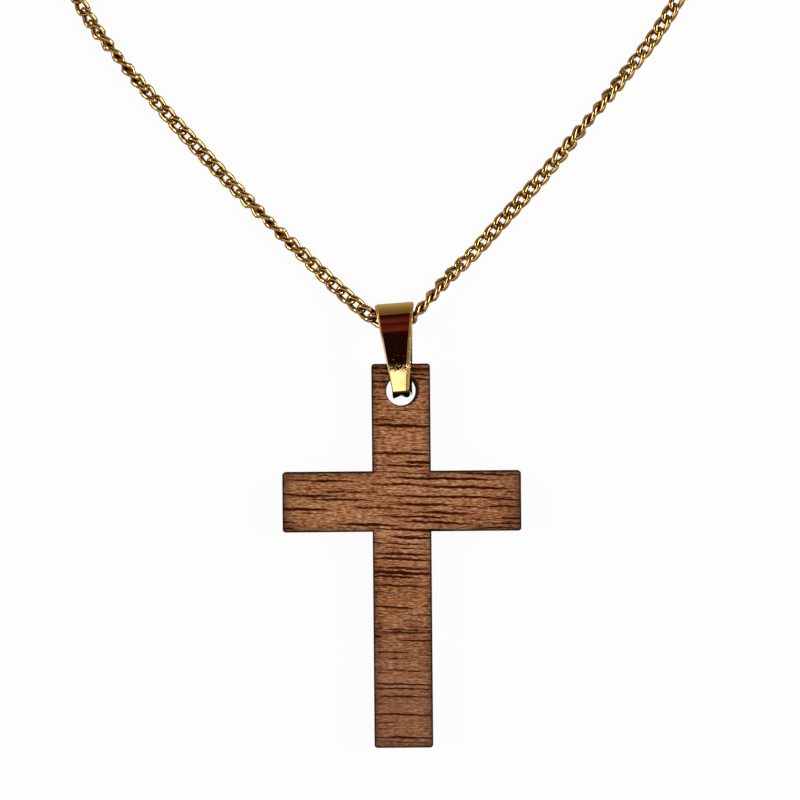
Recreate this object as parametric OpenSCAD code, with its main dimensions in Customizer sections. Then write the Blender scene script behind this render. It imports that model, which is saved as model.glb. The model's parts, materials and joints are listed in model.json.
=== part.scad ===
/* [Cross] */
// Length of the cross, top to foot
cross_len = 51; // [40:0.5:70]
// Width across the arms
cross_w = 31.7; // [26:0.1:45]
// Width of the upright post
post_w = 7.8; // [7:0.1:10]
// Height of the arms
arm_h = 8; // [6:0.1:10]
// From the top edge down to the arms
arm_drop = 14.3; // [12:0.1:18]
// Thickness of the wood
cross_t = 3; // [2:0.1:3.6]
// Radius of the outer corners
corner_r = 0.4; // [0.2:0.05:0.8]
// Diameter of the hanging hole
hole_d = 3.9; // [3.6:0.1:4.4]
// From the top edge down to the hole's centre
hole_drop = 3.6; // [3.2:0.1:5]

/* [Bail] */
// From the hole's centre up to the top of the fold
bail_rise = 11.7; // [11:0.1:15]
// From the hole's centre down to the ends of the legs
bail_tip_drop = 0.85; // [0.7:0.05:1]
// Width of the strip at the fold
bail_top_w = 5.1; // [4.6:0.1:6]
// Width of the strip at the ends of the legs
bail_tip_w = 2.1; // [1.6:0.1:2.4]
// Thickness of the sheet metal
bail_t = 0.45; // [0.3:0.05:0.6]
// Clear width between the two legs
bail_gap = 4.4; // [4.2:0.1:5.2]
// Height of the bent prongs at the ends of the legs
prong_h = 0.7; // [0.5:0.05:0.9]
// Gap left between the tips of the two prongs
prong_gap = 0.1; // [0.05:0.05:0.3]
// Lean of the bail to the left, in degrees
bail_lean = 4; // [0:0.5:6]
// Clearance between the back leg and the wood
seat_clear = 0.1; // [0.05:0.05:0.2]

/* [Chain] */
// Greatest distance from link to link
pitch = 1.88; // [1.7:0.01:2]
// Diameter of the link wire
wire_d = 0.46; // [0.4:0.02:0.48]
// Radius of the round ends of a link, at the middle of the wire
link_r = 0.88; // [0.85:0.01:0.95]
// Tilt of each link to one side or the other of the run, in degrees
link_tilt = 36; // [34:1:40]
// Clearance between wires that hook into each other
wire_clear = 0.12; // [0.1:0.01:0.14]

/* [Clasp] */
// Radius of the small ring at the clasp's eye, at the middle of the wire
jump_r = 1.1; // [1:0.05:1.2]
// Diameter of the small ring's wire
jump_d = 0.5; // [0.4:0.05:0.55]
// Radius of the ring that the hook holds, at the middle of the wire
end_r = 1.5; // [1.45:0.05:1.6]
// Diameter of that ring's wire
end_d = 0.6; // [0.5:0.05:0.65]
// Thickness of the clasp's body
clasp_t = 1.8; // [1.6:0.1:2]
// Thickness of the clasp's eye
eye_t = 0.8; // [0.6:0.1:0.9]
// Radius of the hole in the eye
eye_hole_r = 0.7; // [0.65:0.05:0.8]
// Width of the metal around that hole
eye_rim = 0.5; // [0.4:0.05:0.6]
// From the eye to the middle of the hook's round opening
hook_x = 7.3; // [7.2:0.1:8]
// Radius of the hook's opening
hook_r = 1.25; // [1.15:0.05:1.3]
// Width of the hook's bar
hook_bar = 0.95; // [0.8:0.05:1]
// From the eye to the lever's pin
pin_x = 3.5; // [3.4:0.1:3.6]
// Radius of the lever's pin
pin_r = 0.3; // [0.25:0.05:0.35]
// Running clearance of the lever on its pin
pin_clear = 0.05; // [0.02:0.01:0.1]
// Thickness of the lever
lever_t = 0.6; // [0.5:0.05:0.7]
// Clearance between the lever and the walls of its slot
lever_clear = 0.1; // [0.08:0.01:0.15]
// Wall of the return spring's coil round the pin
spring_wall = 0.2; // [0.15:0.05:0.25]
// Height of the return spring's coil
spring_h = 0.3; // [0.2:0.05:0.35]
// Clearance between the ring that stands in the hook and the table
ring_lift = 0.1; // [0.05:0.05:0.3]
// How far that ring stands back from the end of the hook
end_slack = 0.15; // [0.1:0.01:0.2]
// Thickness of the clasp at the nose of its hook
nose_t = 0.8; // [0.6:0.05:0.9]
// How far the last link on each side stands in on its ring
ring_slack = 0.2; // [0.15:0.01:0.25]

// From the clasp's middle line up to the lever's pin
pin_y = 0.5; // [0.4:0.05:0.6]
// Radius of the lever's boss round the pin
boss_r = 0.7; // [0.65:0.05:0.75]
// Width of the lever's gate
gate_w = 0.7; // [0.6:0.05:0.8]
// From the clasp's middle line up to the gate
gate_y = 1.05; // [1:0.05:1.1]
// Half the width of the lever's thumb tab
tab_x = 0.5; // [0.4:0.05:0.6]
// How far the thumb tab stands out of the clasp's back
tab_out = 1; // [0.8:0.1:1.4]
// Radius of the clasp's back round the pin
clasp_back_r = 1.5; // [1.45:0.05:1.6]
// From the clasp's middle line up to the floor of the hook's mouth
mouth_y = 0.55; // [0.5:0.05:0.6]
// From the middle of the hook's opening to the hook's tip
mouth_end_x = 0.2; // [0.1:0.05:0.3]

/* [Hidden] */
$fn = 48;

// The cross lies face up on its back, its length along Y, on the bail's back leg.
// The origin is on the table, under the middle of the cross and the bail together.
bail_reach = bail_rise * cos(bail_lean) + bail_top_w / 2 * sin(bail_lean);
hole_y = (cross_len - hole_drop - bail_reach) / 2;
top_y = hole_y + hole_drop;
cross_z = bail_t + seat_clear;
fold_r = bail_gap / 2;
fold_z = bail_t + fold_r;
fold_rise = bail_rise - bail_t - fold_r;
fold_centre = [-fold_rise * sin(bail_lean), hole_y + fold_rise * cos(bail_lean), 0];
leg_len = fold_rise + bail_tip_drop;

// A link is an oval of round wire: two half rings and two straight sides.
link_a = (pitch + wire_d + wire_clear) / 2;
link_side = link_a - link_r;

// The clasp's own places, along its length from the middle of the eye.
jump_x = -(eye_hole_r - jump_d / 2 - wire_clear) - jump_r;
end_x = hook_x + hook_r - end_d / 2 - wire_clear - end_slack + end_r;
left_link_x = jump_x - jump_r + (jump_d + wire_d) / 2 + wire_clear + ring_slack - link_a;
right_link_x = end_x + end_r - (end_d + wire_d) / 2 - wire_clear - ring_slack + link_a;
eye_r = eye_hole_r + eye_rim;
hook_out_r = hook_r + hook_bar;
slot_t = lever_t + spring_h + 3 * lever_clear;
lever_z = -slot_t / 2 + lever_clear;
spring_z = lever_z + lever_t + lever_clear;

// The chain's route, from the middle of the bail's fold, in plan and in height over the table.
// It lies in the spread V of a necklace, and the rest closes in two loops above the V.
clasp_place = [-5.6, 91.5, end_r + end_d / 2 + ring_lift];
route_middle = [[-0.4, 0.1, 2.6]];
route_left = [[-2.9, 0.7, 2.5], [-6.9, 4, 1.6], [-11.4, 8.4, 1], [-17.1, 14, 1], [-22.7, 19.8, 1],
              [-29.1, 26.9, 1], [-35.4, 34.2, 1], [-40.3, 40.6, 1], [-43.2, 46.6, 1],
              [-44.6, 54, 1], [-44.8, 65, 1], [-44.8, 80, 1], [-44.8, 95, 1], [-44.8, 110, 1],
              [-44.2, 121, 1], [-41.7, 130.5, 1], [-36.8, 136.8, 1], [-31, 139, 1],
              [-25.2, 136.6, 1], [-20.2, 130, 1], [-17.7, 121, 1], [-17.3, 112, 1], [-17.2, 105, 1],
              [-16.9, 99.5, 1.1], [-15.4, 95, 1.4], [-12.7, 92.4, 1.7], clasp_place + [left_link_x, 0, 0]];
route_right = [[2.2, 0.8, 2.5], [6.9, 5.8, 1.6], [10.6, 9.4, 1], [14.7, 13.9, 1], [20.1, 19.8, 1],
               [25.2, 25.9, 1], [30.3, 32.1, 1], [35.2, 38.4, 1], [38.8, 44.6, 1],
               [40.6, 52, 1], [41, 63, 1], [41, 78, 1], [41, 93, 1], [41, 108, 1],
               [40.4, 121, 1], [37.9, 130.5, 1], [33, 136.8, 1], [27.3, 139, 1],
               [21.6, 136.6, 1], [16.8, 130, 1], [14.5, 121, 1], [14.2, 112, 1], [14.1, 105, 1],
               [13.8, 99.5, 1.1], [12.4, 95, 1.4], [9.8, 92.4, 1.7], clasp_place + [right_link_x, 0, 0]];
route = [for (p = concat([for (i = [len(route_left) - 1:-1:0]) route_left[i]], route_middle, route_right))
         p + fold_centre];

function unit(v) = v / norm(v);

// A smooth curve through the route's points, as short straight steps.
steps = 12;
function route_at(i) = route[max(0, min(len(route) - 1, i))];
function curve(i, t) =
    let(a = route_at(i - 1), b = route_at(i), c = route_at(i + 1), d = route_at(i + 2))
    b + t / 2 * (c - a + t * (2 * a - 5 * b + 4 * c - d + t * (3 * (b - c) + d - a)));
line = [for (i = [0:len(route) - 2], k = [0:steps - 1]) curve(i, k / steps), route[len(route) - 1]];
run = [for (i = 0, s = 0; i < len(line); s = s + (i + 1 < len(line) ? norm(line[i + 1] - line[i]) : 0), i = i + 1) s];
function along(s) = [for (k = [0:2]) lookup(s, [for (i = [0:len(line) - 1]) [run[i], line[i][k]]])];

// Links stand at even steps from the middle of the fold to each end, never further apart than the pitch.
left_len = run[len(route_left) * steps];
right_len = run[len(run) - 1] - left_len;
left_count = ceil(left_len / pitch);
right_count = ceil(right_len / pitch);
function station(k) = left_len + (k < 0 ? k * left_len / left_count : k * right_len / right_count);
echo(chain_length = left_len + right_len, links = left_count + right_count + 1);

// Moves what follows so that its X axis runs along the chain at station k, level from side to side.
module on_chain(k) {
    s = station(k);
    reach = pitch / 4;
    ahead = unit(along(s + reach) - along(s - reach));
    side = unit(cross([0, 0, 1], ahead));
    up = cross(ahead, side);
    place = along(s);
    multmatrix([[ahead[0], side[0], up[0], place[0]],
                [ahead[1], side[1], up[1], place[1]],
                [ahead[2], side[2], up[2], place[2]],
                [0, 0, 0, 1]]) children();
}

module link() {
    for (turn = [0, 180])
        rotate(turn) translate([link_side, 0, 0]) rotate(-90)
            rotate_extrude(angle = 180) translate([link_r, 0]) circle(d = wire_d, $fn = 24);
    for (side = [-1, 1])
        translate([0, side * link_r, 0]) rotate([0, 90, 0])
            cylinder(d = wire_d, h = 2 * link_side, center = true, $fn = 24);
}

// The links from one station to another, leaning to one side and the other in turn.
module links(first, last) {
    color("gold") for (k = [first:last])
        on_chain(k) rotate([k % 2 == 0 ? link_tilt : -link_tilt, 0, 0]) link();
}

// The rest links are the two on each side that carry the outer bends of the chain on the table.
left_third = round(left_count / 3);
right_third = round(right_count / 3);
module chain_left_front() { links(-left_third, 0); }
module chain_left_side() { links(2 - 2 * left_third, -left_third - 1); }
module chain_left_rest() { links(-2 * left_third, 1 - 2 * left_third); }
module chain_left_back() { links(-left_count, -2 * left_third - 1); }
module chain_right_front() { links(1, right_third); }
module chain_right_side() { links(right_third + 1, 2 * right_third - 2); }
module chain_right_rest() { links(2 * right_third - 1, 2 * right_third); }
module chain_right_back() { links(2 * right_third + 1, right_count); }

// A bar with round corners, from its lower left corner.
module bar(w, h) {
    translate([corner_r, 0]) square([w - 2 * corner_r, h]);
    translate([0, corner_r]) square([w, h - 2 * corner_r]);
    for (x = [corner_r, w - corner_r], y = [corner_r, h - corner_r]) translate([x, y]) circle(r = corner_r);
}

module cross() {
    color("saddlebrown") translate([0, top_y, cross_z]) difference() {
        linear_extrude(cross_t) {
            translate([-post_w / 2, -cross_len]) bar(post_w, cross_len);
            translate([-cross_w / 2, -arm_drop - arm_h]) bar(cross_w, arm_h);
        }
        translate([0, -hole_drop, -1]) cylinder(d = hole_d, h = cross_t + 2);
    }
}

// Side of the folded strip: the fold round the chain, two legs, and a prong bent in at each leg's end.
module bail_side() {
    outer_r = fold_r + bail_t;
    difference() {
        union() {
            circle(r = outer_r);
            translate([-leg_len, -outer_r]) square([leg_len, 2 * outer_r]);
        }
        circle(r = fold_r);
        translate([prong_h - leg_len, -fold_r]) square([leg_len - prong_h, bail_gap]);
        translate([-leg_len - 1, -prong_gap / 2]) square([prong_h + 2, prong_gap]);
    }
}

module bail() {
    color("goldenrod") translate([0, hole_y, 0]) rotate(bail_lean) intersection() {
        translate([-bail_top_w, fold_rise, fold_z]) rotate([90, 0, 90]) linear_extrude(2 * bail_top_w) bail_side();
        translate([0, 0, -1]) linear_extrude(2 * fold_z + 2)
            polygon([[-bail_top_w / 2, bail_rise], [bail_top_w / 2, bail_rise],
                     [bail_tip_w / 2, -bail_tip_drop], [-bail_tip_w / 2, -bail_tip_drop]]);
    }
}

// Moves what follows to the clasp, its eye at the origin and its hook along X.
module on_clasp() {
    translate(fold_centre + clasp_place) children();
}

module ring(r, d) {
    rotate([90, 0, 0]) rotate_extrude() translate([r, 0]) circle(d = d, $fn = 24);
}

module jump_ring() { color("gold") on_clasp() translate([jump_x, 0, 0]) ring(jump_r, jump_d); }

module end_ring() { color("gold") on_clasp() translate([end_x, 0, 0]) ring(end_r, end_d); }

// Outline of the clasp: a slim back round the pin that widens to the round hook.
module clasp_outline() {
    translate([hook_x, 0]) circle(r = hook_out_r);
    translate([pin_x, 0]) circle(r = clasp_back_r);
    polygon([[pin_x, -clasp_back_r], [hook_x, -hook_out_r], [hook_x, hook_out_r], [pin_x, clasp_back_r]]);
}

// The hook's opening and its mouth on the upper side, which the lever closes.
module clasp_opening() {
    translate([hook_x, 0]) circle(r = hook_r);
    translate([pin_x + clasp_back_r, mouth_y]) square([hook_x + mouth_end_x - pin_x - clasp_back_r, 2 * hook_out_r]);
}

// Side view of the clasp, which grows slim towards the nose of the hook so that a ring goes round it.
module clasp_side() {
    nose_x = hook_x + hook_out_r;
    polygon([[-2 * eye_r, -clasp_t / 2], [hook_x, -clasp_t / 2], [nose_x, -nose_t / 2],
             [nose_x, nose_t / 2], [hook_x, clasp_t / 2], [-2 * eye_r, clasp_t / 2]]);
}

// Slot between the two cheeks, in which the lever turns on its pin.
slot_floor = pin_y - boss_r - lever_clear;
slot_x = pin_x - boss_r - tab_x - lever_clear;
module clasp_body() {
    color("gold") on_clasp() difference() {
        union() {
            intersection() {
                translate([0, 0, -clasp_t / 2]) linear_extrude(clasp_t) difference() {
                    clasp_outline();
                    clasp_opening();
                }
                translate([0, 2 * hook_out_r, 0]) rotate([90, 0, 0]) linear_extrude(4 * hook_out_r) clasp_side();
            }
            translate([0, 0, -eye_t / 2]) linear_extrude(eye_t) {
                circle(r = eye_r);
                translate([0, -eye_hole_r]) square([pin_x - clasp_back_r / 2, 2 * eye_hole_r]);
            }
        }
        cylinder(r = eye_hole_r, h = clasp_t, center = true);
        translate([slot_x, slot_floor, -slot_t / 2]) cube([hook_x - slot_x, 2 * hook_out_r, slot_t]);
        translate([pin_x, pin_y, 0]) cylinder(r = pin_r, h = 2 * clasp_t, center = true);
    }
}

// The lever: a round boss on the pin, the gate that reaches to the hook's tip, and the thumb tab.
module clasp_lever() {
    gate_end = hook_x + mouth_end_x - lever_clear;
    color("gold") on_clasp() translate([0, 0, lever_z]) difference() {
        linear_extrude(lever_t) {
            translate([pin_x, pin_y]) circle(r = boss_r);
            translate([pin_x, gate_y]) square([gate_end - pin_x, gate_w]);
            translate([pin_x - tab_x, pin_y]) square([2 * tab_x, clasp_back_r + tab_out - pin_y]);
        }
        translate([pin_x, pin_y, -1]) cylinder(r = pin_r + pin_clear, h = lever_t + 2);
    }
}

module clasp_pin() {
    color("gold") on_clasp() translate([pin_x, pin_y, 0]) cylinder(r = pin_r, h = clasp_t, center = true);
}

module clasp_spring() {
    inner_r = pin_r + pin_clear;
    color("silver") on_clasp() translate([pin_x, pin_y, spring_z]) difference() {
        cylinder(r = inner_r + spring_wall, h = spring_h);
        translate([0, 0, -1]) cylinder(r = inner_r, h = spring_h + 2);
    }
}

cross();
bail();
chain_left_front();
chain_left_side();
chain_left_rest();
chain_left_back();
chain_right_front();
chain_right_side();
chain_right_rest();
chain_right_back();
jump_ring();
clasp_body();
clasp_lever();
clasp_pin();
clasp_spring();
end_ring();
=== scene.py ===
# %% [markdown]
# # A wooden cross on a gold chain
# The object is a pendant, photographed from straight above as it lies on a table. It has three things to
# show: a flat cross cut from one piece of brown wood, a strip of polished metal folded over at the top of
# it, and a fine chain of twisted links that runs through the fold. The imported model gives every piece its
# size and its place, so each new mesh below is made in that frame, in metres, and rides on one of its bodies.

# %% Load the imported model
import json
import math

import bmesh
import bpy
from mathutils import Matrix, Vector


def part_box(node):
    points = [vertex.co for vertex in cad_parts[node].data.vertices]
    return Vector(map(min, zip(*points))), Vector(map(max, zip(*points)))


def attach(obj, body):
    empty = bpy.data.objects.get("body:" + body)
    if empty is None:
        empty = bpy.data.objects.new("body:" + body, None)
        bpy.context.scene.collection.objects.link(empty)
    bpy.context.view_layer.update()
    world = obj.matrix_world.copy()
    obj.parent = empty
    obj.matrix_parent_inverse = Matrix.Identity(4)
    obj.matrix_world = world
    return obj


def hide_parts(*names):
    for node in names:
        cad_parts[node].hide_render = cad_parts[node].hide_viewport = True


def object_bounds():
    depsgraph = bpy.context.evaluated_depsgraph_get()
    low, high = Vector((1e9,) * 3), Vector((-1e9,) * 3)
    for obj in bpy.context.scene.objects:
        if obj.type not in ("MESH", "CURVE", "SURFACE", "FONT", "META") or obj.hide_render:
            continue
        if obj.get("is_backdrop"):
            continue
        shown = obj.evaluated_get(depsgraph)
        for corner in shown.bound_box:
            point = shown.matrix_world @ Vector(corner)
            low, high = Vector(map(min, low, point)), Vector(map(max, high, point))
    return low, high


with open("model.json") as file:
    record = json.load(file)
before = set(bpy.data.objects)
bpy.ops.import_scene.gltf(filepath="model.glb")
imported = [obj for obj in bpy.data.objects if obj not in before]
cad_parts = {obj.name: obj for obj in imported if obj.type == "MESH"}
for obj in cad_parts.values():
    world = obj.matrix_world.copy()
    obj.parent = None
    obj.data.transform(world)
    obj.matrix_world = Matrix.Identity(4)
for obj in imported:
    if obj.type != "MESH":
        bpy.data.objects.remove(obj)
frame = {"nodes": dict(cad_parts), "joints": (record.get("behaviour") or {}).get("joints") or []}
cad_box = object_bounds()
MM = 0.001
joints = {joint["name"]: joint for joint in frame["joints"]}
fold_axis = Vector(joints["bail_swing"]["pos_m"])
hole_centre = Vector(joints["cross_sway"]["pos_m"])
cross_low, cross_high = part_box("cross")
print("nodes in the frame:", len(frame["nodes"]))

# %% [markdown]
# ## The camera
# The picture was taken from above, so the camera looks straight down. A long lens keeps the far chain and
# the near cross at almost one scale. The pendant lies turned a little to the left in the picture, and that
# turn belongs to the camera: the pendant stays square in its own frame.

# %% Camera
PICTURE_WIDTH = 106.2 * MM
PICTURE_CENTRE = Vector((-0.12 * MM, 16.55 * MM, cross_high.z))
PICTURE_TURN = math.radians(-0.5)
LENS = 150
SENSOR = 36

camera_data = bpy.data.cameras.new("camera")
camera_data.lens = LENS
camera_data.sensor_width = SENSOR
camera_data.clip_start = 0.01
camera = bpy.data.objects.new("camera", camera_data)
camera.location = PICTURE_CENTRE + Vector((0, 0, PICTURE_WIDTH * LENS / SENSOR))
camera.rotation_euler = (0, 0, PICTURE_TURN)
bpy.context.scene.collection.objects.link(camera)
bpy.context.scene.camera = camera
print("camera height:", round(camera.location.z, 3))

# %% [markdown]
# ## Values that add their own nodes
# A finish is a graph of shader nodes, and most of them are sums. The class below wraps one output of a
# node, so a sum can be written as Python writes it, and 1 - mask puts the Math node in place. Every other
# node comes from one method of the finish itself: it takes the type, the settings and what feeds the sockets.

# %% Shader helpers


class Value:
    """One output of a node in a finish. Sums of values add Math nodes."""

    def __init__(self, finish, socket):
        self.finish = finish
        self.socket = socket

    def __add__(self, other):
        return self.finish.math("ADD", self, other)

    def __radd__(self, other):
        return self.finish.math("ADD", other, self)

    def __sub__(self, other):
        return self.finish.math("SUBTRACT", self, other)

    def __rsub__(self, other):
        return self.finish.math("SUBTRACT", other, self)

    def __mul__(self, other):
        return self.finish.math("MULTIPLY", self, other)

    def __rmul__(self, other):
        return self.finish.math("MULTIPLY", other, self)


class Finish:
    """A node graph in the making: a material's or the world's."""

    def __init__(self, owner):
        owner.use_nodes = True
        self.owner = owner
        self.tree = owner.node_tree

    def feed(self, socket, value):
        if isinstance(value, Value):
            self.tree.links.new(value.socket, socket)
        else:
            socket.default_value = value

    def node(self, kind, settings=None, inputs=None, output=0):
        made = self.tree.nodes.new(kind)
        for name, value in (settings or {}).items():
            if name == "stops":
                self.set_stops(made.color_ramp, value)
            else:
                setattr(made, name, value)
        for name, value in (inputs or {}).items():
            self.feed(made.inputs[name], value)
        return Value(self, made.outputs[output])

    def set_stops(self, ramp, stops):
        while len(ramp.elements) < len(stops):
            ramp.elements.new(1)
        for element, (position, color) in zip(ramp.elements, stops):
            element.position = position
            element.color = (*color, 1)

    def math(self, operation, *values):
        return self.node("ShaderNodeMath", {"operation": operation}, dict(enumerate(values)))

    def vector(self, operation, *values, output=0):
        return self.node("ShaderNodeVectorMath", {"operation": operation}, dict(enumerate(values)), output)

    def mix(self, share, first, second):
        """The colour first where share is 0, and second where it is 1."""
        return self.node("ShaderNodeMix", {"data_type": "RGBA"}, {0: share, 6: first, 7: second}, 2)

    def between(self, value, low, high):
        """0 below low, 1 above high, and a smooth step in between. Low may be the larger one."""
        settings = {"interpolation_type": "SMOOTHSTEP"}
        return self.node("ShaderNodeMapRange", settings, {"Value": value, "From Min": low, "From Max": high})

    def noise(self, place, stretch, detail=3.0, roughness=0.5):
        """Noise whose grains are 1 / stretch long in each direction of place."""
        stretched = self.vector("MULTIPLY", place, stretch)
        inputs = {"Vector": stretched, "Scale": 1.0, "Detail": detail, "Roughness": roughness}
        return self.node("ShaderNodeTexNoise", None, inputs)

    def parts(self, vector):
        """The three numbers of a vector, each as a value."""
        split = self.node("ShaderNodeSeparateXYZ", None, {0: vector}).socket.node
        return [Value(self, output) for output in split.outputs]

    def bump(self, surface, height, strength, depth):
        """Roughens a surface's normals by a height."""
        inputs = {"Strength": strength, "Distance": depth, "Height": height}
        self.feed(surface.inputs["Normal"], self.node("ShaderNodeBump", None, inputs))

    def millimetres(self):
        """Where a point of the piece is, in millimetres."""
        place = self.node("ShaderNodeTexCoord", None, None, "Object")
        return self.vector("MULTIPLY", place, (1000, 1000, 1000))


def new_finish(name):
    """A material's finish and its surface shader."""
    finish = Finish(bpy.data.materials.new(name))
    return finish, finish.tree.nodes["Principled BSDF"]


print("shader helpers are ready")

# %% [markdown]
# ## Gold
# Chain, clasp and bail are plated, and plating is a thin bright skin over softer metal. A mirror finish
# needs little from its nodes: the surroundings give it its lights and darks. What is added is what handling
# leaves: a faint change of tone, fine hairlines, and the tiny bumps that break a highlight. The chain's wires
# also get painted shade on their sides: a dark brown is painted where the surface turns away from straight
# up. So their colour follows the surface's own direction: bright where a wire faces up, painted dark where
# it turns away.

# %% Gold finishes
GOLD = (0.88, 0.66, 0.29, 1)
GOLD_WARM = (0.72, 0.47, 0.16, 1)
GOLD_SATIN = (0.44, 0.25, 0.056, 1)
CHAIN_GOLD = (0.57, 0.37, 0.12, 1)
CHAIN_WARM = (0.48, 0.26, 0.062, 1)
# The dark brown painted as shade on the sides of the chain's wires.
PAINTED_SIDE_SHADE = (0.125, 0.03, 0.0015, 1)
# The near black painted as shade on the bail's inner face and its prongs.
PAINTED_SHADE_BLACK = (0.02, 0.014, 0.009, 1)


def chain_gold():
    finish, surface = new_finish("chain_gold")
    place = finish.millimetres()
    tone = finish.noise(place, (0.9, 0.9, 0.9), 4.0)
    scuffs = finish.noise(place, (6, 6, 6), 5.0, 0.6)
    bright = finish.mix(finish.between(tone, 0.4, 0.75), CHAIN_GOLD, CHAIN_WARM)
    upward = finish.parts(finish.node("ShaderNodeTexCoord", None, None, "Normal"))[2]
    # Painted shade: dark brown is painted where the wire's surface turns away from straight up.
    painted_side_shade = finish.between(upward + 0.1 * (scuffs - 0.5), 0.8, 0.45)
    finish.feed(surface.inputs["Base Color"], finish.mix(0.92 * painted_side_shade, bright, PAINTED_SIDE_SHADE))
    finish.feed(surface.inputs["Roughness"], 0.07 + 0.06 * scuffs + 0.2 * painted_side_shade)
    finish.bump(surface, scuffs, strength=0.06, depth=0.02 * MM)
    surface.inputs["Metallic"].default_value = 1
    return finish.owner


chain_finish = chain_gold()
print("made", chain_finish.name)

# %% [markdown]
# ## The chain
# A curb chain is made of round-wire links that are each given a twist, so that every link lies flat against
# the next one. It could be a tube with a bump pattern, but close up the holes between the wires and the way
# one link goes over the next are what the eye reads. So one link is modelled: a small circle is spun into a
# ring, and the ring is drawn long and twisted. Then it is set along the chain's route, link by link.
# The chain also rolls about its own run as it lies, from flat to edge-on and back, about every 30 mm.

# %% The route of the chain, in millimetres from the middle of the bail's fold
ROUTE_MIDDLE = [(-0.4, 0.1, 2.6)]
ROUTE_LEFT = [
    (-2.9, 0.7, 2.5), (-6.9, 4, 1.6), (-11.4, 8.4, 1), (-17.1, 14, 1), (-22.7, 19.8, 1), (-29.1, 26.9, 1),
    (-35.4, 34.2, 1), (-40.3, 40.6, 1), (-43.2, 46.6, 1), (-44.6, 54, 1), (-44.8, 65, 1), (-44.8, 80, 1),
    (-44.8, 95, 1), (-44.8, 110, 1), (-44.2, 121, 1), (-41.7, 130.5, 1), (-36.8, 136.8, 1), (-31, 139, 1),
    (-25.2, 136.6, 1), (-20.2, 130, 1), (-17.7, 121, 1), (-17.3, 112, 1), (-17.2, 105, 1), (-16.9, 99.5, 1.1),
    (-15.4, 95, 1.4), (-12.7, 92.4, 1.7), (-8.56, 91.5, 1.9),
]
ROUTE_RIGHT = [
    (2.2, 0.8, 2.5), (6.9, 5.8, 1.6), (10.6, 9.4, 1), (14.7, 13.9, 1), (20.1, 19.8, 1), (25.2, 25.9, 1),
    (30.3, 32.1, 1), (35.2, 38.4, 1), (38.8, 44.6, 1), (40.6, 52, 1), (41, 63, 1), (41, 78, 1),
    (41, 93, 1), (41, 108, 1), (40.4, 121, 1), (37.9, 130.5, 1), (33, 136.8, 1), (27.3, 139, 1),
    (21.6, 136.6, 1), (16.8, 130, 1), (14.5, 121, 1), (14.2, 112, 1), (14.1, 105, 1), (13.8, 99.5, 1.1),
    (12.4, 95, 1.4), (9.8, 92.4, 1.7), (5.76, 91.5, 1.9),
]
STEPS = 12
CHAIN_LIFT = 0.06 * MM
fold_foot = Vector((fold_axis.x, fold_axis.y, CHAIN_LIFT))
route = [fold_foot + MM * Vector(point) for point in ROUTE_LEFT[::-1] + ROUTE_MIDDLE + ROUTE_RIGHT]


def smooth_line(points):
    """A Catmull-Rom curve through the points, as short straight steps."""
    line = []
    for i in range(len(points) - 1):
        a, b, c, d = (points[min(max(i + k, 0), len(points) - 1)] for k in (-1, 0, 1, 2))
        for step in range(STEPS):
            t = step / STEPS
            line.append(b + t / 2 * (c - a + t * (2 * a - 5 * b + 4 * c - d + t * (3 * (b - c) + d - a))))
    return line + [points[-1]]


whole_line = smooth_line(route)
middle_index = STEPS * len(ROUTE_LEFT)
left_line = whole_line[middle_index::-1]
right_line = whole_line[middle_index:]


class Run:
    """A line that can be asked where it is, and where it heads, at a distance along it."""

    def __init__(self, line):
        self.line = line
        self.reach = [0]
        for a, b in zip(line, line[1:]):
            self.reach.append(self.reach[-1] + (b - a).length)
        self.length = self.reach[-1]

    def at(self, distance):
        i = 0
        while i < len(self.line) - 2 and self.reach[i + 1] < distance:
            i += 1
        share = (distance - self.reach[i]) / (self.reach[i + 1] - self.reach[i])
        return self.line[i].lerp(self.line[i + 1], share)

    def heading(self, distance, near):
        return (self.at(distance + near) - self.at(distance - near)).normalized()


left_run = Run(left_line)
right_run = Run(right_line)
print("chain, left and right, mm:", round(left_run.length / MM, 1), round(right_run.length / MM, 1))

# %% [markdown]
# ## One link
# A link could be swept along a curve, but a spin of a small circle already gives a closed ring with even
# faces. Each vertex of that ring is then moved: round the ring it follows an oval, and it rises and falls
# twice a turn, which is the twist that lets a curb chain lie flat. About a hundred faces are enough, because
# the shape is repeated hundreds of times.

# %% One curb link
PITCH = 1.88 * MM
WIRE = 0.71 * MM
LINK_HALF_LENGTH = 1.28 * MM
LINK_HALF_WIDTH = 0.67 * MM
LINK_TWIST = -0.36 * MM
LINK_RINGS = 16
LINK_SIDES = 6


def full_turn(shape, geom, steps):
    """Spins vertices and edges once round the Z axis, and merges the seam."""
    bmesh.ops.spin(shape, geom=geom, axis=(0, 0, 1), cent=(0, 0, 0), angle=2 * math.pi, steps=steps,
                   use_merge=True)


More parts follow.
